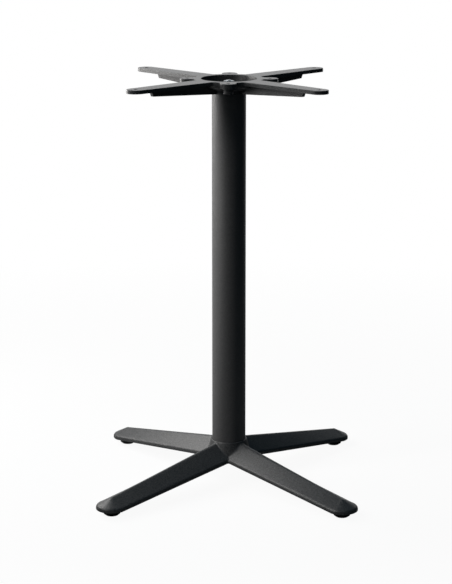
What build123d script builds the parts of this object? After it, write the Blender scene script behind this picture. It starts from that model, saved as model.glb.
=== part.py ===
"""Cast table base: four-legged foot casting, tube column and ribbed top spider, held by one tie rod.

Millimetres, +Z up. The origin is on the floor, on the column's axis. Legs and arms run along the
diagonals, so the table top's sides lie along X and Y.
"""

import os
from math import radians, sqrt, tan

from build123d import *

os.makedirs("parts", exist_ok=True)

# Whole base
TOTAL_HEIGHT = 730
BASE_SPAN = 450
CORNERS = 4
FIRST_CORNER = 45

# Column tube
TUBE_DIAMETER = 60
TUBE_WALL = 2
TUBE_CLEARANCE = 0.25

# Levelling feet
PAD_DIAMETER = 29
PAD_HEIGHT = 7
PAD_TREAD_DIAMETER = 21
PAD_EDGE_HEIGHT = 3
PAD_EDGE_RADIUS = 1
PAD_SOCKET_DEPTH = 4
STUD_DIAMETER = 8
STUD_LENGTH = 13
STUD_HEX = 14
STUD_HEX_HEIGHT = 4
STUD_CLEARANCE = 0.3
STUD_TIP_ROOM = 0.8

# Legs of the base casting
LEG_ROOT = 25
LEG_ROOT_DEPTH = 34
LEG_ROOT_WIDTH = 62
LEG_TIP_DEPTH = 20.3
LEG_TIP_WIDTH = 55
LEG_LIP = 6.5
LEG_WALL = 5
RIDGE_RADIUS = 6
SHOULDER_RADIUS = 6
LOWER_EDGE_RADIUS = 1.2
FOOT_BOSS_DIAMETER = 22
CAVITY_GAP = 6

# Hub of the base casting
HUB_HEIGHT = 75
HUB_TOP_DIAMETER = 65
HUB_DRAFT = 13
HUB_WEB = 14
HUB_EDGE_RADIUS = 1.2
HUB_BLEND_RADIUS = 4
SPIGOT_HEIGHT = 18
SPIGOT_WALL = 6
NUT_POCKET_DIAMETER = 40

# Top spider
SPIDER_DEPTH = 25
PLATE_THICKNESS = 6.5
TOP_EDGE_RADIUS = 1.2
PLAN_FILLET = 5
ARM_HOLE_SPACING = 306
ARM_END_RADIUS = 16
ARM_ROOT_RADIUS = 20.5
ARM_HOLE_DIAMETER = 7
RIB_THICKNESS = 6.5
RIB_END_DEPTH = 15.5
RIB_SETBACK = 33
RIB_END_SLANT = 4
RING_BORE = 98
RING_DIAMETER = 124
RING_DEPTH = 11
RING_WALL = 8
RING_DRAFT = 1.5
LUG_CIRCLE = 144
LUG_WIDTH = 28
LUG_THICKNESS = 9
LUG_HOLE_DIAMETER = 6.5
LUG_BOSS_DIAMETER = 17
LUG_BOSS_DEPTH = 18
COLLAR_WALL = 3.5
SOCKET_DEPTH = 3.5
DISH_FLOOR = 5
DISH_FLOOR_DIAMETER = 46
DISH_DROP = 2.5

# Tie rod with its nuts and washers
ROD_DIAMETER = 10
ROD_HOLE_DIAMETER = 11
ROD_END = 1.2
ROD_CHAMFER = 0.8
THREAD_CLEARANCE = 0.1
NUT_HEX = 17
NUT_HEIGHT = 8
NUT_CHAMFER = 1
WASHER_DIAMETER = 30
WASHER_THICKNESS = 2
SPRING_WASHER_DIAMETER = 18
SPRING_WASHER_THICKNESS = 2.2
SPRING_WASHER_SLIT = 2

# Levels and radii that follow from the sizes above
foot_reach = (BASE_SPAN - LEG_TIP_WIDTH) / sqrt(2)
leg_foot_level = PAD_HEIGHT + STUD_HEX_HEIGHT
leg_foot_ridge = leg_foot_level + LEG_TIP_DEPTH
leg_root_level = HUB_HEIGHT - LEG_ROOT_DEPTH
tube_radius = TUBE_DIAMETER / 2
tube_bore_radius = tube_radius - TUBE_WALL
hub_web_level = HUB_HEIGHT - HUB_WEB
hub_foot_radius = HUB_TOP_DIAMETER / 2 + LEG_ROOT_DEPTH * tan(radians(HUB_DRAFT))
spider_level = TOTAL_HEIGHT - SPIDER_DEPTH
plate_level = TOTAL_HEIGHT - PLATE_THICKNESS
socket_level = spider_level + SOCKET_DEPTH
dish_level = socket_level + DISH_FLOOR
socket_radius = tube_radius + TUBE_CLEARANCE
collar_radius = socket_radius + COLLAR_WALL
arm_reach = ARM_HOLE_SPACING / sqrt(2)
stack_height = WASHER_THICKNESS + SPRING_WASHER_THICKNESS + NUT_HEIGHT
corner_names = ["back_right", "back_left", "front_left", "front_right"]


def save(piece, name):
    """Label a finished piece and write it as its own file."""
    piece.label = name
    export_step(piece, f"parts/{name}.step")
    print(f"{name}: {piece.volume / 1000:.1f} cm3")


def roof_points(half_width, ridge, level, lip):
    """Corners of a roof-shaped leg section, from the lower left round to the left shoulder."""
    return [
        (-half_width, level),
        (half_width, level),
        (half_width, level + lip),
        (0, ridge),
        (-half_width, level + lip),
    ]


def leg_section(station, width, ridge, level):
    """Outer section of a leg, square to its length, with rounded ridge, shoulders and lower edges."""
    across = Plane(origin=(station, 0, 0), x_dir=(0, 1, 0), z_dir=(1, 0, 0))
    with BuildSketch(across) as section:
        with BuildLine():
            Polyline(*roof_points(width / 2, ridge, level, LEG_LIP), close=True)
        make_face()
        fillet(section.vertices().sort_by(Axis.Y)[2:4], SHOULDER_RADIUS)
        fillet(section.vertices().sort_by(Axis.Y)[-1], RIDGE_RADIUS)
        fillet(section.vertices().sort_by(Axis.Y)[:2], LOWER_EDGE_RADIUS)
    return section


def cavity_section(station, width, ridge, level):
    """Section of the hollow under a leg: the outer section moved inwards by the wall."""
    half_width = width / 2
    slope = (ridge - level - LEG_LIP) / half_width
    roof_drop = LEG_WALL * sqrt(1 + slope**2)
    shoulder = level + LEG_LIP + LEG_WALL * slope - roof_drop
    below = level - LEG_WALL
    across = Plane(origin=(station, 0, 0), x_dir=(0, 1, 0), z_dir=(1, 0, 0))
    with BuildSketch(across) as section:
        with BuildLine():
            Polyline(
                *roof_points(half_width - LEG_WALL, ridge - roof_drop, below, shoulder - below),
                close=True,
            )
        make_face()
    return section


def half_of(section):
    """Right half of a leg section, to turn about the foot's axis into the round nose."""
    with BuildSketch(section.workplanes[0]) as half:
        add(section.sketch_local)
        split(bisect_by=Plane.YZ, keep=Keep.TOP)
    return half


def line_between(station, start, end):
    """Value at a station along the leg, on a straight line from the root to the foot."""
    share = (station - LEG_ROOT) / (foot_reach - LEG_ROOT)
    return start + (end - start) * share


foot_axis = Axis((foot_reach, 0, 0), (0, 0, -1))

# One leg, along +X: a straight taper from the hub to the foot, closed by a half-turn of its section
root_section = leg_section(LEG_ROOT, LEG_ROOT_WIDTH, HUB_HEIGHT, leg_root_level)
tip_section = leg_section(foot_reach, LEG_TIP_WIDTH, leg_foot_ridge, leg_foot_level)
with BuildPart() as leg:
    loft([root_section.sketch, tip_section.sketch], ruled=True)
    revolve(half_of(tip_section).sketch, axis=foot_axis, revolution_arc=180)

# The hollow under one leg, with a boss left standing for the foot's stud
cavity_start = hub_foot_radius + CAVITY_GAP
cavity_root = cavity_section(
    cavity_start,
    line_between(cavity_start, LEG_ROOT_WIDTH, LEG_TIP_WIDTH),
    line_between(cavity_start, HUB_HEIGHT, leg_foot_ridge),
    line_between(cavity_start, leg_root_level, leg_foot_level),
)
cavity_tip = cavity_section(foot_reach, LEG_TIP_WIDTH, leg_foot_ridge, leg_foot_level)
with BuildPart() as cavity:
    loft([cavity_root.sketch, cavity_tip.sketch], ruled=True)
    revolve(half_of(cavity_tip).sketch, axis=foot_axis, revolution_arc=180)
    with Locations((foot_reach, 0, 0)):
        Cylinder(
            FOOT_BOSS_DIAMETER / 2,
            HUB_HEIGHT,
            align=(Align.CENTER, Align.CENTER, Align.MIN),
            mode=Mode.SUBTRACT,
        )

# Base casting: hub and legs as one body, blended where they meet
with BuildPart() as base_casting:
    with BuildSketch(Plane.XZ.rotated((0, 0, FIRST_CORNER))) as hub_side:
        with BuildLine():
            Polyline(
                (0, leg_root_level),
                (hub_foot_radius, leg_root_level),
                (HUB_TOP_DIAMETER / 2, HUB_HEIGHT),
                (0, HUB_HEIGHT),
                close=True,
            )
        make_face()
        fillet(hub_side.vertices().sort_by(Axis.Y)[-2:].sort_by(Axis.X)[-1], HUB_EDGE_RADIUS)
    revolve(axis=Axis.Z)
    with PolarLocations(0, CORNERS, start_angle=FIRST_CORNER):
        add(leg.part)
    blended = base_casting.edges(Select.NEW).filter_by(
        lambda edge: edge.center().Z > leg_root_level + LOWER_EDGE_RADIUS
    )
    fillet(blended, HUB_BLEND_RADIUS)
    with PolarLocations(0, CORNERS, start_angle=FIRST_CORNER):
        add(cavity.part, mode=Mode.SUBTRACT)
    # Spigot that centres the tube
    with BuildSketch(Plane.XY.offset(HUB_HEIGHT)):
        Circle(tube_bore_radius - TUBE_CLEARANCE)
        Circle(tube_bore_radius - TUBE_CLEARANCE - SPIGOT_WALL, mode=Mode.SUBTRACT)
    extrude(amount=SPIGOT_HEIGHT)
    # Pocket for the lower nut, and the rod's hole through the web above it
    with BuildSketch(Plane.XY.offset(hub_web_level)):
        Circle(NUT_POCKET_DIAMETER / 2)
    extrude(amount=-hub_web_level, mode=Mode.SUBTRACT)
    with BuildSketch(Plane.XY.offset(hub_web_level)):
        Circle(ROD_HOLE_DIAMETER / 2)
    extrude(amount=HUB_WEB, mode=Mode.SUBTRACT)
    # Flat seats and blind threaded holes for the feet
    with BuildSketch(Plane.XY.offset(leg_foot_level)):
        with PolarLocations(foot_reach, CORNERS, start_angle=FIRST_CORNER):
            Circle(FOOT_BOSS_DIAMETER / 2)
    extrude(amount=LEG_LIP)
    with BuildSketch(Plane.XY.offset(leg_foot_level)):
        with PolarLocations(foot_reach, CORNERS, start_angle=FIRST_CORNER):
            Circle(STUD_DIAMETER / 2 + STUD_CLEARANCE)
    extrude(amount=STUD_LENGTH + STUD_TIP_ROOM, mode=Mode.SUBTRACT)
save(base_casting.part, "base_casting")

# Column tube, from the hub's shoulder into the spider's socket
with BuildPart() as column_tube:
    with BuildSketch(Plane.XY.offset(HUB_HEIGHT)):
        Circle(tube_radius)
        Circle(tube_bore_radius, mode=Mode.SUBTRACT)
    extrude(amount=socket_level - HUB_HEIGHT)
save(column_tube.part, "column_tube")

# Plan of one arm, along +X: wide at the ring, round about its screw hole
with BuildSketch() as arm_plan:
    with Locations((RING_BORE / 2, 0)):
        Circle(ARM_ROOT_RADIUS)
    with Locations((arm_reach, 0)):
        Circle(ARM_END_RADIUS)
    make_hull()

# Plan of one screw lug, along +X
with BuildSketch() as lug_plan:
    with Locations((RING_BORE / 2, 0), (LUG_CIRCLE / 2, 0)):
        Circle(LUG_WIDTH / 2)
    make_hull()

# Upright rib under one arm, and the shorter one that ties a lug's boss to the collar
rib_end = arm_reach - RIB_SETBACK
with BuildSketch(Plane.XZ) as arm_rib_side:
    with BuildLine():
        Polyline(
            (socket_radius, plate_level),
            (socket_radius, spider_level),
            (collar_radius, spider_level),
            (rib_end - RIB_END_SLANT, TOTAL_HEIGHT - RIB_END_DEPTH),
            (rib_end, plate_level),
            close=True,
        )
    make_face()
with BuildPart() as arm_rib:
    extrude(arm_rib_side.sketch, amount=RIB_THICKNESS / 2, both=True)
with BuildSketch(Plane.XZ) as lug_rib_side:
    with BuildLine():
        Polyline(
            (socket_radius, plate_level),
            (socket_radius, spider_level),
            (collar_radius, spider_level),
            (LUG_CIRCLE / 2, TOTAL_HEIGHT - LUG_BOSS_DEPTH),
            (LUG_CIRCLE / 2, plate_level),
            close=True,
        )
    make_face()
with BuildPart() as lug_rib:
    extrude(lug_rib_side.sketch, amount=RIB_THICKNESS / 2, both=True)
    with BuildSketch(Plane.XY.offset(plate_level)):
        with Locations((LUG_CIRCLE / 2, 0)):
            Circle(LUG_BOSS_DIAMETER / 2)
    extrude(amount=PLATE_THICKNESS - LUG_BOSS_DEPTH)

# Top spider: flat plate of ring, arms and lugs, a dished hub with a socket for the tube, and ribs
with BuildPart() as top_spider:
    with BuildSketch(Plane.XY.offset(TOTAL_HEIGHT)) as plate_plan:
        Circle(RING_DIAMETER / 2)
        with PolarLocations(0, CORNERS, start_angle=FIRST_CORNER):
            add(arm_plan.sketch)
        with PolarLocations(0, CORNERS):
            add(lug_plan.sketch)
        inner_corners = plate_plan.vertices().filter_by(
            lambda corner: Vector(corner.X, corner.Y).length < LUG_CIRCLE / 2
        )
        fillet(inner_corners, PLAN_FILLET)
    extrude(amount=-PLATE_THICKNESS)
    with BuildSketch(Plane.XY.offset(TOTAL_HEIGHT)):
        with PolarLocations(0, CORNERS):
            add(lug_plan.sketch)
    extrude(amount=-LUG_THICKNESS)
    fillet(top_spider.faces().sort_by(Axis.Z)[-1].outer_wire().edges(), TOP_EDGE_RADIUS)
    with PolarLocations(0, CORNERS, start_angle=FIRST_CORNER):
        add(arm_rib.part)
    with PolarLocations(0, CORNERS):
        add(lug_rib.part)
    # Outer skin of the dish: a shallow ring, a cone and the collar round the tube
    with BuildSketch(Plane.XZ):
        with BuildLine():
            Polyline(
                (0, spider_level),
                (collar_radius, spider_level),
                (collar_radius, dish_level - DISH_DROP),
                (RING_BORE / 2 + RING_WALL - RING_DRAFT, TOTAL_HEIGHT - RING_DEPTH),
                (RING_BORE / 2 + RING_WALL, plate_level),
                (0, plate_level),
                close=True,
            )
        make_face()
    revolve(axis=Axis.Z)
    # Inside of the dish
    with BuildSketch(Plane.XZ):
        with BuildLine():
            Polyline(
                (0, dish_level),
                (DISH_FLOOR_DIAMETER / 2, dish_level),
                (RING_BORE / 2 - RING_DRAFT, TOTAL_HEIGHT - RING_DEPTH),
                (RING_BORE / 2, TOTAL_HEIGHT),
                (0, TOTAL_HEIGHT),
                close=True,
            )
        make_face()
    revolve(axis=Axis.Z, mode=Mode.SUBTRACT)
    rim = top_spider.faces().sort_by(Axis.Z)[-1].inner_wires().edges()
    fillet(rim, TOP_EDGE_RADIUS)
    # Socket for the tube and the rod's hole through the dish floor
    with BuildSketch(Plane.XY.offset(spider_level)):
        Circle(socket_radius)
    extrude(amount=SOCKET_DEPTH, mode=Mode.SUBTRACT)
    with BuildSketch(Plane.XY.offset(socket_level)):
        Circle(ROD_HOLE_DIAMETER / 2)
    extrude(amount=DISH_FLOOR, mode=Mode.SUBTRACT)
    # Screw holes for the table top
    with BuildSketch(Plane.XY.offset(TOTAL_HEIGHT)):
        with PolarLocations(arm_reach, CORNERS, start_angle=FIRST_CORNER):
            Circle(ARM_HOLE_DIAMETER / 2)
        with PolarLocations(LUG_CIRCLE / 2, CORNERS):
            Circle(LUG_HOLE_DIAMETER / 2)
    extrude(amount=-SPIDER_DEPTH, mode=Mode.SUBTRACT)
save(top_spider.part, "top_spider")

# Tie rod, past the nuts at both ends
rod_low = hub_web_level - stack_height - ROD_END
rod_high = dish_level + stack_height + ROD_END
with BuildPart() as tie_rod:
    with BuildSketch(Plane.XY.offset(rod_low)):
        Circle(ROD_DIAMETER / 2)
    extrude(amount=rod_high - rod_low)
    chamfer(tie_rod.edges().filter_by(GeomType.CIRCLE), ROD_CHAMFER)
save(tie_rod.part, "tie_rod")

thread_bore = ROD_DIAMETER / 2 + THREAD_CLEARANCE


def plain_washer(level):
    """Flat washer with its underside at the given level."""
    with BuildPart() as washer:
        with BuildSketch(Plane.XY.offset(level)):
            Circle(WASHER_DIAMETER / 2)
            Circle(ROD_HOLE_DIAMETER / 2, mode=Mode.SUBTRACT)
        extrude(amount=WASHER_THICKNESS)
    return washer.part


def spring_washer(level):
    """Split washer with its underside at the given level."""
    with BuildPart() as washer:
        with BuildSketch(Plane.XY.offset(level)):
            Circle(SPRING_WASHER_DIAMETER / 2)
            Circle(thread_bore, mode=Mode.SUBTRACT)
            with Locations((SPRING_WASHER_DIAMETER / 2, 0)):
                Rectangle(SPRING_WASHER_DIAMETER, SPRING_WASHER_SLIT, mode=Mode.SUBTRACT)
        extrude(amount=SPRING_WASHER_THICKNESS)
    return washer.part


def hex_nut(level):
    """Hexagon nut with its underside at the given level and both rims turned down."""
    with BuildPart() as nut:
        with BuildSketch(Plane.XY.offset(level)):
            RegularPolygon(NUT_HEX / 2, 6, major_radius=False)
        extrude(amount=NUT_HEIGHT)
        with BuildSketch(Plane.XZ):
            with BuildLine():
                Polyline(
                    (0, level),
                    (NUT_HEX / 2, level),
                    (NUT_HEX / sqrt(3), level + NUT_CHAMFER),
                    (NUT_HEX / sqrt(3), level + NUT_HEIGHT - NUT_CHAMFER),
                    (NUT_HEX / 2, level + NUT_HEIGHT),
                    (0, level + NUT_HEIGHT),
                    close=True,
                )
            make_face()
        revolve(axis=Axis.Z, mode=Mode.INTERSECT)
        with BuildSketch(Plane.XY.offset(level)):
            Circle(thread_bore)
        extrude(amount=NUT_HEIGHT, mode=Mode.SUBTRACT)
    return nut.part


save(plain_washer(dish_level), "top_washer")
save(spring_washer(dish_level + WASHER_THICKNESS), "top_spring_washer")
save(hex_nut(dish_level + stack_height - NUT_HEIGHT), "top_nut")
save(plain_washer(hub_web_level - WASHER_THICKNESS), "bottom_washer")
save(spring_washer(hub_web_level - WASHER_THICKNESS - SPRING_WASHER_THICKNESS), "bottom_spring_washer")
save(hex_nut(hub_web_level - stack_height), "bottom_nut")

# Foot pad on the Z axis: a moulded disc with a narrower tread and a socket for the stud
with BuildPart() as foot_pad:
    with BuildSketch(Plane.XZ) as pad_side:
        with BuildLine():
            Polyline(
                (0, 0),
                (PAD_TREAD_DIAMETER / 2, 0),
                (PAD_DIAMETER / 2, PAD_EDGE_HEIGHT),
                (PAD_DIAMETER / 2, PAD_HEIGHT),
                (STUD_DIAMETER / 2 + STUD_CLEARANCE, PAD_HEIGHT),
                (STUD_DIAMETER / 2 + STUD_CLEARANCE, PAD_HEIGHT - PAD_SOCKET_DEPTH),
                (0, PAD_HEIGHT - PAD_SOCKET_DEPTH),
                close=True,
            )
        make_face()
        fillet(pad_side.vertices().sort_by(Axis.X)[-2:], PAD_EDGE_RADIUS)
    revolve(axis=Axis.Z)

# Foot stud on the Z axis: threaded shank, hexagon for the spanner and a pin that turns in the pad
with BuildPart() as foot_stud:
    with BuildSketch(Plane.XY.offset(PAD_HEIGHT)):
        RegularPolygon(STUD_HEX / 2, 6, major_radius=False)
    extrude(amount=STUD_HEX_HEIGHT)
    with BuildSketch(Plane.XY.offset(PAD_HEIGHT - PAD_SOCKET_DEPTH)):
        Circle(STUD_DIAMETER / 2)
    extrude(amount=PAD_SOCKET_DEPTH + STUD_HEX_HEIGHT + STUD_LENGTH)

# A foot at each corner, named by where it stands when seen from the front
corners = PolarLocations(foot_reach, CORNERS, start_angle=FIRST_CORNER)
for corner, place in zip(corner_names, corners.locations):
    save(foot_pad.part.moved(place), f"{corner}_foot_pad")
    save(foot_stud.part.moved(place), f"{corner}_foot_stud")
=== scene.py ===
# %% [markdown]
# A cast iron table base: a casting with four hollow legs on levelling feet, a tube column, a ribbed
# spider for the table top, and one long rod that pulls the three together. The solids come from the
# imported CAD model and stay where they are. This script gives them their finish, adds the screw threads
# that the solids leave out, and sets up the picture. Everything is in metres, with +Z up and the floor
# at zero.

# %% Load the frame
import math

import bmesh
import bpy
from mathutils import Matrix, Vector


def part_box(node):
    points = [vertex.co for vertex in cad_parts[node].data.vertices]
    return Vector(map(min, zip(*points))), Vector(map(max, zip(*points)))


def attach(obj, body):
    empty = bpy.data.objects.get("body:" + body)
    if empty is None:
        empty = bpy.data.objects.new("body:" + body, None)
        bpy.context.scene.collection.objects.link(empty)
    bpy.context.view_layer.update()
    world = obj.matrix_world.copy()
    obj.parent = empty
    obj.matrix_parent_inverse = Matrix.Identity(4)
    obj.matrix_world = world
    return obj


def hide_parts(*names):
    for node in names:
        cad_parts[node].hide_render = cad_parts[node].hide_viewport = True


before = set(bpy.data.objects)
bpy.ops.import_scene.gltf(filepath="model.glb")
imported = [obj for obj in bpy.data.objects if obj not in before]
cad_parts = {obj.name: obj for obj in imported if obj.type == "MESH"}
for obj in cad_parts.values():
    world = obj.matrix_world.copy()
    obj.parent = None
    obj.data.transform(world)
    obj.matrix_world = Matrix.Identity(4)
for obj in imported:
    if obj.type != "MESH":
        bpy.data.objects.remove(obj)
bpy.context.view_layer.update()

scene = bpy.context.scene
scene.view_settings.view_transform = "Standard"
MM = 0.001

# %% [markdown]
# The camera stands where the photographer stood: a little over three metres in front and some forty
# centimetres above the spider, looking slightly down. A long lens keeps the column nearly parallel. The
# picture is 452 by 584 pixels, so the 36 mm sensor lies along the height. The object sits high in the
# picture, and a small downward shift of the lens puts it there without tilting the camera further.

# %% Camera
CAMERA_PLACE = Vector((0.0576, -3.2746, 1.1407))
CAMERA_YAW = math.radians(1.098)
CAMERA_PITCH = math.radians(11.504)
CAMERA_LENS = 116.33
CAMERA_SHIFT = -0.12
SENSOR_WIDTH = 36

camera_data = bpy.data.cameras.new("camera")
camera_data.sensor_width = SENSOR_WIDTH
camera_data.lens = CAMERA_LENS
camera_data.shift_y = CAMERA_SHIFT
camera = bpy.data.objects.new("camera", camera_data)
camera.location = CAMERA_PLACE
camera.rotation_euler = (math.pi / 2 - CAMERA_PITCH, 0, CAMERA_YAW)
scene.collection.objects.link(camera)
scene.camera = camera
print("camera", round(CAMERA_PLACE.length, 3), "m from the floor centre, lens", CAMERA_LENS, "mm")

# %% [markdown]
# A material needs the same few moves again and again: a pattern of a known size, a number or a colour
# that follows the pattern, and a bump. Small functions keep each finish short. All patterns read Object
# coordinates. Every piece has its place in its mesh, so a pattern of one millimetre is one millimetre
# on every piece. Noise seldom comes near zero or one, so numbers and colours follow its middle range.

# %% Helpers for materials
PATTERN_LOW = 0.3
PATTERN_HIGH = 0.7


def start_material(name):
    """A new material, with its node tree, its shader and its Object coordinates."""
    material = bpy.data.materials.new(name)
    material.use_nodes = True
    tree = material.node_tree
    shader = tree.nodes["Principled BSDF"]
    place = tree.nodes.new("ShaderNodeTexCoord").outputs["Object"]
    return material, tree, shader, place


def noise(tree, place, size, detail=2.0):
    """Cloudy pattern whose blobs are about the given size in metres."""
    node = tree.nodes.new("ShaderNodeTexNoise")
    node.inputs["Scale"].default_value = 1 / size
    node.inputs["Detail"].default_value = detail
    tree.links.new(place, node.inputs["Vector"])
    return node.outputs["Fac"]


def ramp(tree, value, start, end, low, high):
    """Number that goes from low to high while the value goes from start to end."""
    node = tree.nodes.new("ShaderNodeMapRange")
    node.inputs["From Min"].default_value = start
    node.inputs["From Max"].default_value = end
    node.inputs["To Min"].default_value = low
    node.inputs["To Max"].default_value = high
    tree.links.new(value, node.inputs["Value"])
    return node.outputs["Result"]


def spread(tree, pattern, low, high):
    """Number that goes from low to high as a pattern goes through its middle range."""
    return ramp(tree, pattern, PATTERN_LOW, PATTERN_HIGH, low, high)


def tint(tree, pattern, dark, light):
    """Colour between two tones, following the pattern."""
    node = tree.nodes.new("ShaderNodeValToRGB")
    node.color_ramp.elements[0].position = PATTERN_LOW
    node.color_ramp.elements[0].color = (*dark, 1)
    node.color_ramp.elements[1].position = PATTERN_HIGH
    node.color_ramp.elements[1].color = (*light, 1)
    tree.links.new(pattern, node.inputs["Fac"])
    return node.outputs["Color"]


def bump(tree, pattern, depth, strength, under=None):
    """Surface relief of the given depth in metres, laid over an earlier bump if there is one."""
    node = tree.nodes.new("ShaderNodeBump")
    node.inputs["Distance"].default_value = depth
    node.inputs["Strength"].default_value = strength
    tree.links.new(pattern, node.inputs["Height"])
    if under is not None:
        tree.links.new(under, node.inputs["Normal"])
    return node.outputs["Normal"]


print("patterns are read from", PATTERN_LOW, "to", PATTERN_HIGH)

# %% [markdown]
# The castings and the column are powder coated in anthracite. Baked powder has a fine tight grain, and
# on a casting it also follows the soft unevenness of the sand mould, which a drawn tube doesn't have. A
# picture of such a coat would need unwrapping and would show its seams, so the coat is made from noise:
# slow waves of the metal, the grain of the powder, and fine specks. One function makes all three coats.
# The base has the strongest waves, the spider finer ones and a smoother coat, and the tube hardly any,
# with tones that lie closer together and more shine.

# %% Powder coat
GRAIN_SIZE = 2.2 * MM
GRAIN_DEPTH = 0.08 * MM
SPECK_SIZE = 0.5 * MM
SPECK_DEPTH = 0.04 * MM
GRAIN_STRENGTH = 0.7
WAVE_STRENGTH = 0.6


def powder_coat(name, tones, waviness, roughness, shine):
    """Fine-grained powder coat over slow waves of the metal below, given by their size and depth."""
    material, tree, shader, place = start_material(name)
    shader.inputs["Specular IOR Level"].default_value = shine
    wave_size, wave_depth = waviness
    grain = noise(tree, place, GRAIN_SIZE, detail=3)
    specks = noise(tree, place, SPECK_SIZE)
    waves = noise(tree, place, wave_size)
    tree.links.new(tint(tree, grain, *tones), shader.inputs["Base Color"])
    tree.links.new(spread(tree, specks, *roughness), shader.inputs["Roughness"])
    relief = bump(tree, waves, wave_depth, WAVE_STRENGTH)
    relief = bump(tree, grain, GRAIN_DEPTH, GRAIN_STRENGTH, relief)
    relief = bump(tree, specks, SPECK_DEPTH, GRAIN_STRENGTH, relief)
    tree.links.new(relief, shader.inputs["Normal"])
    return material


CAST_TONES = ((0.015, 0.016, 0.017), (0.062, 0.063, 0.064))
CAST_SHINE = 0.5
BASE_WAVINESS = (14 * MM, 0.25 * MM)
BASE_ROUGHNESS = (0.42, 0.54)
SPIDER_WAVINESS = (9 * MM, 0.15 * MM)
SPIDER_ROUGHNESS = (0.27, 0.37)
TUBE_TONES = ((0.020, 0.020, 0.021), (0.038, 0.038, 0.039))
TUBE_SHINE = 1.0
TUBE_WAVINESS = (60 * MM, 0.05 * MM)
TUBE_ROUGHNESS = (0.50, 0.58)

base_coat = powder_coat("base_coat", CAST_TONES, BASE_WAVINESS, BASE_ROUGHNESS, CAST_SHINE)
spider_coat = powder_coat("spider_coat", CAST_TONES, SPIDER_WAVINESS, SPIDER_ROUGHNESS, CAST_SHINE)
column_coat = powder_coat("column_coat", TUBE_TONES, TUBE_WAVINESS, TUBE_ROUGHNESS, TUBE_SHINE)
print("coats:", base_coat.name, spider_coat.name, column_coat.name)

# %% [markdown]
# Rod, nuts, washers and studs are zinc plated steel: pale blue-grey, with faint cloudy spangles from the
# bath and fine marks from tumbling in the barrel. A plain metal would look like chrome. Two noises give
# the cloudy tone and the marks, and the marks are drawn out along the upright axis.

# %% Zinc plate
ZINC_TONES = ((0.46, 0.48, 0.50), (0.64, 0.66, 0.68))
ZINC_ROUGHNESS = (0.26, 0.44)
SPANGLE_SIZE = 4 * MM
TUMBLE_SIZE = 0.6 * MM
TUMBLE_SCALE = (1, 1, 0.25)
TUMBLE_DEPTH = 0.02 * MM
TUMBLE_STRENGTH = 0.5


def stretched(tree, place, scale):
    """Coordinates scaled unevenly, to draw a pattern out along one direction."""
    node = tree.nodes.new("ShaderNodeMapping")
    node.inputs["Scale"].default_value = scale
    tree.links.new(place, node.inputs["Vector"])
    return node.outputs["Vector"]


def zinc_plate(name):
    """Bright zinc with a cloudy tone and fine tumbling marks."""
    material, tree, shader, place = start_material(name)
    shader.inputs["Metallic"].default_value = 1
    spangle = noise(tree, place, SPANGLE_SIZE, detail=4)
    marks = noise(tree, stretched(tree, place, TUMBLE_SCALE), TUMBLE_SIZE, detail=3)
    tree.links.new(tint(tree, spangle, *ZINC_TONES), shader.inputs["Base Color"])
    tree.links.new(spread(tree, marks, *ZINC_ROUGHNESS), shader.inputs["Roughness"])
    tree.links.new(bump(tree, marks, TUMBLE_DEPTH, TUMBLE_STRENGTH), shader.inputs["Normal"])
    return material


zinc_steel = zinc_plate("zinc_steel")
print("plate:", zinc_steel.name)

# %% [markdown]
# The foot pads are moulded in black polyamide. The mould leaves a fine leathery grain, and the surface
# is a little shinier where the grain is low. One noise is enough: tone, roughness and relief follow it
# together. The shine is kept low, because the pads look quite black in the shade of the legs.

# %% Black plastic
PAD_TONES = ((0.006, 0.006, 0.007), (0.014, 0.014, 0.015))
PAD_ROUGHNESS = (0.34, 0.50)
PAD_SHINE = 0.2
PAD_GRAIN_SIZE = 0.7 * MM
PAD_GRAIN_DEPTH = 0.04 * MM
PAD_GRAIN_STRENGTH = 0.6


def moulded_plastic(name):
    """Black plastic with a fine mould grain."""
    material, tree, shader, place = start_material(name)
    shader.inputs["Specular IOR Level"].default_value = PAD_SHINE
    grain = noise(tree, place, PAD_GRAIN_SIZE, detail=3)
    tree.links.new(tint(tree, grain, *PAD_TONES), shader.inputs["Base Color"])
    tree.links.new(spread(tree, grain, *PAD_ROUGHNESS), shader.inputs["Roughness"])
    tree.links.new(bump(tree, grain, PAD_GRAIN_DEPTH, PAD_GRAIN_STRENGTH), shader.inputs["Normal"])
    return material


black_plastic = moulded_plastic("black_plastic")
print("plastic:", black_plastic.name)

# %% [markdown]
# Each CAD node takes its finish from its kind. The names of the nodes say what they are, so a short
# table of word endings is enough, and the mesh itself isn't touched.

# %% Dress the CAD nodes
FINISH_BY_ENDING = {
    "base_casting": base_coat,
    "top_spider": spider_coat,
    "column_tube": column_coat,
    "rod": zinc_steel,
    "washer": zinc_steel,
    "nut": zinc_steel,
    "stud": zinc_steel,
    "pad": black_plastic,
}


def dress(piece, finish):
    """Give the whole piece one finish."""
    piece.data.materials.clear()
    piece.data.materials.append(finish)


for name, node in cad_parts.items():
    ending = next(key for key in FINISH_BY_ENDING if name.endswith(key))
    dress(node, FINISH_BY_ENDING[ending])
print("dressed", len(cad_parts), "nodes")

# %% [markdown]
# The solids carry plain cylinders where the real rod and studs carry a thread. A bump could draw the
# grooves, but the outline would stay straight where a stud shows below its leg, so the thread is real. It
# is made as it is rolled: its saw-tooth profile goes once round the axis and climbs by one pitch on the
# way, so the end of each turn meets the start of the next. The ends are cut square, chamfered and closed.

# %% Thread
THREAD_STEPS = 32
CREST_SHARE = 0.125
ROOT_SHARE = 0.25
THREAD_DEPTH_SHARE = 0.6134
FLANK_SHARE = (1 - CREST_SHARE - ROOT_SHARE) / 2
MERGE_GAP = 0.001 * MM
UP = (0, 0, 1)


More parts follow.
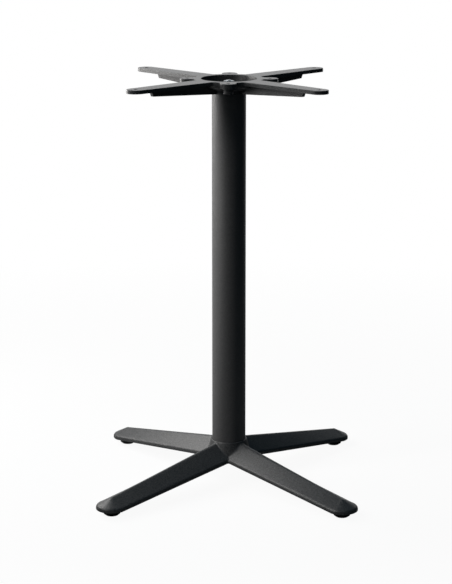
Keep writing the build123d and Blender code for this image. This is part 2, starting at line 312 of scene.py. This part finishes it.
def thread(low, high, radius, pitch):
    """A right-hand screw thread round the Z axis between two levels."""
    mesh = bmesh.new()
    root = radius - THREAD_DEPTH_SHARE * pitch
    crest_start = ROOT_SHARE + FLANK_SHARE
    tooth = ((root, 0), (root, ROOT_SHARE), (radius, crest_start), (radius, 1 - FLANK_SHARE))
    turns = range(-1, math.ceil((high - low) / pitch) + 1)
    profile = [(reach, low + (turn + share) * pitch) for turn in turns for reach, share in tooth]
    corners = [mesh.verts.new((reach, 0, level)) for reach, level in profile]
    lines = [mesh.edges.new(pair) for pair in zip(corners, corners[1:])]
    climb = (0, 0, pitch / THREAD_STEPS)
    bmesh.ops.spin(
        mesh, geom=corners + lines, axis=UP, angle=math.tau, dvec=climb, steps=THREAD_STEPS
    )
    bmesh.ops.remove_doubles(mesh, verts=mesh.verts, dist=MERGE_GAP)
    for level, side in ((low, -1), (high, 1)):
        everything = mesh.verts[:] + mesh.edges[:] + mesh.faces[:]
        bmesh.ops.bisect_plane(
            mesh, geom=everything, plane_co=(0, 0, level), plane_no=(0, 0, side), clear_outer=True
        )
    for corner in mesh.verts:
        limit = root + min(corner.co.z - low, high - corner.co.z)
        reach = corner.co.xy.length
        if reach > limit:
            corner.co.xy *= limit / reach
    bmesh.ops.dissolve_degenerate(mesh, dist=MERGE_GAP, edges=mesh.edges)
    bmesh.ops.holes_fill(mesh, edges=[edge for edge in mesh.edges if edge.is_boundary])
    return mesh


print("thread profile: root", ROOT_SHARE, "flank", FLANK_SHARE, "crest", CREST_SHARE, "of the pitch")

# %% [markdown]
# Between its threads a rod is plain, and a foot stud has a hexagon for the spanner. Both start from a
# ready shape, a cone without a slope and a circle with six corners, and the hexagon's edges are softened
# because no real edge is sharp. The features of a piece are closed shapes that stand end to end, and one
# function puts them into one mesh.

# %% Shank, hexagon and join
SHARP_ANGLE = math.radians(30)


def shank(low, high, radius):
    """A plain round length between two levels."""
    mesh = bmesh.new()
    middle = Matrix.Translation((0, 0, (low + high) / 2))
    bmesh.ops.create_cone(
        mesh,
        cap_ends=True,
        segments=THREAD_STEPS,
        radius1=radius,
        radius2=radius,
        depth=high - low,
        matrix=middle,
    )
    return mesh


def hexagon(low, high, across, edge_radius):
    """A hexagon with softened edges between two levels, with one corner along +X."""
    mesh = bmesh.new()
    corner_reach = across / math.sqrt(3)
    corner_turn = Matrix.Translation((0, 0, low)) @ Matrix.Rotation(math.pi / 2, 4, "Z")
    bmesh.ops.create_circle(mesh, cap_ends=True, segments=6, radius=corner_reach, matrix=corner_turn)
    raised = bmesh.ops.extrude_face_region(mesh, geom=mesh.faces[:])["geom"]
    moved = [item for item in raised if isinstance(item, bmesh.types.BMVert)]
    bmesh.ops.translate(mesh, verts=moved, vec=(0, 0, high - low))
    bmesh.ops.bevel(
        mesh,
        geom=mesh.edges[:],
        offset=edge_radius,
        segments=2,
        profile=0.5,
        affect="EDGES",
        material=-1,
    )
    return mesh


def join(name, features, place):
    """One object from several finished features, in the given place."""
    piece = bmesh.new()
    for feature in features:
        data = bpy.data.meshes.new("feature")
        feature.to_mesh(data)
        feature.free()
        piece.from_mesh(data)
        bpy.data.meshes.remove(data)
    bmesh.ops.recalc_face_normals(piece, faces=piece.faces)
    bmesh.ops.transform(piece, matrix=place, verts=piece.verts)
    for face in piece.faces:
        face.smooth = True
    data = bpy.data.meshes.new(name)
    piece.to_mesh(data)
    piece.free()
    data.set_sharp_from_angle(angle=SHARP_ANGLE)
    made = bpy.data.objects.new(name, data)
    scene.collection.objects.link(made)
    return made


print("edges sharper than", round(math.degrees(SHARP_ANGLE)), "degrees stay sharp")

# %% [markdown]
# The tie rod pulls the spider down on the column and the column down on the base. It is threaded at both
# ends, where the nuts sit, and plain between. Its levels and its radius come from the solid that it
# stands for, so that it follows the CAD model.

# %% Threaded tie rod
ROD_PITCH = 1.5 * MM
ROD_THREAD_LENGTH = 30 * MM

rod_low, rod_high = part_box("tie_rod")
rod_radius = (rod_high.x - rod_low.x) / 2
rod_parts = [
    thread(rod_low.z, rod_low.z + ROD_THREAD_LENGTH, rod_radius, ROD_PITCH),
    shank(rod_low.z + ROD_THREAD_LENGTH, rod_high.z - ROD_THREAD_LENGTH, rod_radius),
    thread(rod_high.z - ROD_THREAD_LENGTH, rod_high.z, rod_radius, ROD_PITCH),
]
rod = join("threaded_tie_rod", rod_parts, Matrix())
dress(rod, zinc_steel)
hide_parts("tie_rod")
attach(rod, "stand")
print("tie rod:", len(rod.data.polygons), "faces,", round(rod.dimensions.z, 4), "m long")

# %% [markdown]
# Each foot stud has a plain pin that turns in its pad, a hexagon for the spanner and a thread that
# climbs into the leg. It rides on its own body, so the thread comes into sight when the foot is screwed
# out. The four are alike, so one loop makes them, each turned to its own leg.

# %% Threaded foot studs
STUD_PITCH = 1.25 * MM
STUD_RADIUS = 4 * MM
STUD_PIN = 4 * MM
STUD_HEX = 14 * MM
STUD_HEX_HEIGHT = 4 * MM
STUD_EDGE = 0.4 * MM
LEG_ANGLES = {"back_right": 45, "back_left": 135, "front_left": 225, "front_right": 315}

for corner_name, leg_angle in LEG_ANGLES.items():
    node_name = f"{corner_name}_foot_stud"
    low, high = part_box(node_name)
    hex_low = low.z + STUD_PIN
    hex_high = hex_low + STUD_HEX_HEIGHT
    stud_parts = [
        shank(low.z, hex_low, STUD_RADIUS),
        hexagon(hex_low, hex_high, STUD_HEX, STUD_EDGE),
        thread(hex_high, high.z, STUD_RADIUS, STUD_PITCH),
    ]
    centre = (low + high) / 2
    turn = Matrix.Rotation(math.radians(leg_angle), 4, "Z")
    place = Matrix.Translation((centre.x, centre.y, 0)) @ turn
    stud = join(f"threaded_{node_name}", stud_parts, place)
    dress(stud, zinc_steel)
    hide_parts(node_name)
    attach(stud, node_name)
print("foot studs:", len(LEG_ANGLES), "with", len(stud.data.polygons), "faces each")

# %% [markdown]
# The floor is a large pale disc. It is an ordinary matt surface for the light that it throws back, and
# the camera sees it mixed with plain white, so that it stays nearly white and still carries the soft
# shadow of the base. Towards the rim the white takes over, and the floor runs into the background
# without a line.

# %% Floor
FLOOR_RADIUS = 8.0
FLOOR_SEGMENTS = 96

floor_mesh = bmesh.new()
bmesh.ops.create_circle(floor_mesh, cap_ends=True, segments=FLOOR_SEGMENTS, radius=FLOOR_RADIUS)
floor_data = bpy.data.meshes.new("floor")
floor_mesh.to_mesh(floor_data)
floor_mesh.free()
floor = bpy.data.objects.new("floor", floor_data)
scene.collection.objects.link(floor)
print("floor radius", FLOOR_RADIUS)

# %% [markdown]
# What a surface shows can depend on the kind of ray that meets it. The camera's rays see plain white
# everywhere. The rays that the coat mirrors see it on one side only, because a room that is white all
# round would make the column pale. Light Path tells the rays apart, and the distance along a direction
# tells the sides apart.


# %% White for some rays
def link_math(tree, operation, first, second):
    """Result of one operation on two sockets, such as their product."""
    node = tree.nodes.new("ShaderNodeMath")
    node.operation = operation
    tree.links.new(first, node.inputs[0])
    tree.links.new(second, node.inputs[1])
    return node.outputs["Value"]


def distance_along(tree, place, side):
    """How far a place lies in the direction of one side."""
    node = tree.nodes.new("ShaderNodeVectorMath")
    node.operation = "DOT_PRODUCT"
    node.inputs[1].default_value = side
    tree.links.new(place, node.inputs[0])
    return node.outputs["Value"]


def shows_white(tree, place, side, start, end):
    """Share of white that a ray sees: all for the camera, and for reflections only on one side."""
    path = tree.nodes.new("ShaderNodeLightPath").outputs
    on_side = ramp(tree, distance_along(tree, place, side), start, end, 0, 1)
    reflected = link_math(tree, "MAXIMUM", path["Is Glossy Ray"], path["Is Transmission Ray"])
    reflected = link_math(tree, "MULTIPLY", reflected, on_side)
    return link_math(tree, "MAXIMUM", path["Is Camera Ray"], reflected)


# %% [markdown]
# The floor's own material mixes matt paint and plain white. Near the object a little of the paint shows
# through, and with it the shadow. Further out the white is complete. In reflections the white begins
# behind the object on its left, so that one edge of the column gets a bright line and the rest stays
# dark, and the light that the floor throws back on the object is that of a grey floor.

# %% Floor material
FLOOR_WHITE_NEAR = 0.94
FLOOR_PAINT = 0.9
FLOOR_BOUNCE = 0.25
FLOOR_SIDE = (-0.64, 0.77, 0)
FLOOR_DIM_TO = 0.0
FLOOR_WHITE_FROM = 1.5
SHADOW_FULL = 0.45
SHADOW_END = 1.8


def pale_floor(name):
    """Matt white that the camera sees mixed with plain white, more so away from the object."""
    material, tree, shader, place = start_material(name)
    shader.inputs["Roughness"].default_value = 1
    shader.inputs["Specular IOR Level"].default_value = 0
    seen = shows_white(tree, place, FLOOR_SIDE, FLOOR_DIM_TO, FLOOR_WHITE_FROM)
    tree.links.new(ramp(tree, seen, 0, 1, FLOOR_BOUNCE, FLOOR_PAINT), shader.inputs["Base Color"])
    distance = tree.nodes.new("ShaderNodeVectorMath")
    distance.operation = "LENGTH"
    tree.links.new(place, distance.inputs[0])
    share = ramp(tree, distance.outputs["Value"], SHADOW_FULL, SHADOW_END, FLOOR_WHITE_NEAR, 1)
    white = tree.nodes.new("ShaderNodeEmission")
    mix = tree.nodes.new("ShaderNodeMixShader")
    tree.links.new(link_math(tree, "MULTIPLY", seen, share), mix.inputs["Fac"])
    tree.links.new(shader.outputs["BSDF"], mix.inputs[1])
    tree.links.new(white.outputs["Emission"], mix.inputs[2])
    tree.links.new(mix.outputs["Shader"], tree.nodes["Material Output"].inputs["Surface"])
    return material


dress(floor, pale_floor("pale_floor"))
print("floor:", floor.active_material.name, "with shadow out to", SHADOW_END, "m")

# %% [markdown]
# The studio has a white wall behind the object and a dim room on the camera's side. The camera sees
# white all round. Reflections see the white wall behind, which puts the sheen on the flat tops of the
# spider and the thin bright lines along the ridges and rims, and the dim room in front, which keeps the
# column dark. The world's own light on the object is weak, a little blue, and comes from above.

# %% Surroundings
SKY = 0.11
SKY_COLOUR = (0.55, 0.95, 1.25, 1)
SKY_EDGE = 0.2
SKY_FULL = 0.8
WHITE = (1, 1, 1, 1)
WALL_SIDE = (0, 1, 0)
WALL_EDGE = 0.72
WALL_FULL = 0.94

world = bpy.data.worlds.new("studio")
scene.world = world
world.use_nodes = True
room = world.node_tree
direction = room.nodes.new("ShaderNodeTexCoord").outputs["Generated"]
height = distance_along(room, direction, UP)
sky = room.nodes["Background"]
sky.inputs["Color"].default_value = SKY_COLOUR
room.links.new(ramp(room, height, SKY_EDGE, SKY_FULL, 0, SKY), sky.inputs["Strength"])
wall = room.nodes.new("ShaderNodeBackground")
wall.inputs["Color"].default_value = WHITE
choose = room.nodes.new("ShaderNodeMixShader")
room.links.new(shows_white(room, direction, WALL_SIDE, WALL_EDGE, WALL_FULL), choose.inputs["Fac"])
room.links.new(sky.outputs["Background"], choose.inputs[1])
room.links.new(wall.outputs["Background"], choose.inputs[2])
room.links.new(choose.outputs["Shader"], room.nodes["World Output"].inputs["Surface"])
print("light from above", SKY, "white wall from", WALL_EDGE)

# %% [markdown]
# The light comes from the left, from two soft boxes. The key is a large one that stands close and a
# little higher than the spider: it meets the legs at about forty degrees, which makes the left flanks mid
# grey and leaves the right ones nearly black. The second, weaker one stands further off, higher and more
# to the front, in line with the front left arm, which throws its shadow on the top of the column.

# %% Soft boxes
LIGHT_AIM = Vector((0, 0, 0.35))
LIGHT_COLOUR = (1, 0.98, 0.96)
KEY_PLACE = Vector((-0.9, 0.42, 0.9))
KEY_SIZE = (0.8, 0.8)
KEY_POWER = 13.5
SIDE_PLACE = Vector((-1.2, -0.85, 1.35))
SIDE_SIZE = (0.4, 0.3)
SIDE_POWER = 8


def hang(lamp, place, aim, power):
    """Put a lamp in its place, turn it to what it lights and switch it on."""
    lamp.energy = power
    lamp.color = LIGHT_COLOUR
    holder = bpy.data.objects.new(lamp.name, lamp)
    holder.location = place
    holder.rotation_euler = (aim - place).to_track_quat("-Z", "Y").to_euler()
    scene.collection.objects.link(holder)


def soft_box(name, place, size, power):
    """A rectangular lamp that faces the object."""
    lamp = bpy.data.lights.new(name, "AREA")
    lamp.shape = "RECTANGLE"
    lamp.size, lamp.size_y = size
    hang(lamp, place, LIGHT_AIM, power)


soft_box("key", KEY_PLACE, KEY_SIZE, KEY_POWER)
soft_box("side", SIDE_PLACE, SIDE_SIZE, SIDE_POWER)
print("soft boxes: key", KEY_POWER, "W, side", SIDE_POWER, "W")

# %% [markdown]
# The broad sheen along the column comes from a spot, because a soft box as low as this would also light
# the top of the column, which lies in the shadow. The spot stands lower than the side box, its cone ends
# just below the spider, and a wide soft edge hides where it ends.

# %% Spot on the column
SPOT_PLACE = Vector((-1.3, -0.65, 0.95))
SPOT_AIM = Vector((0, 0, 0.3))
SPOT_ANGLE = math.radians(26)
SPOT_SOFT_EDGE = 0.6
SPOT_RADIUS = 0.1
SPOT_POWER = 38

spot = bpy.data.lights.new("spot", "SPOT")
spot.spot_size = SPOT_ANGLE
spot.spot_blend = SPOT_SOFT_EDGE
spot.shadow_soft_size = SPOT_RADIUS
hang(spot, SPOT_PLACE, SPOT_AIM, SPOT_POWER)
print("spot:", SPOT_POWER, "W")
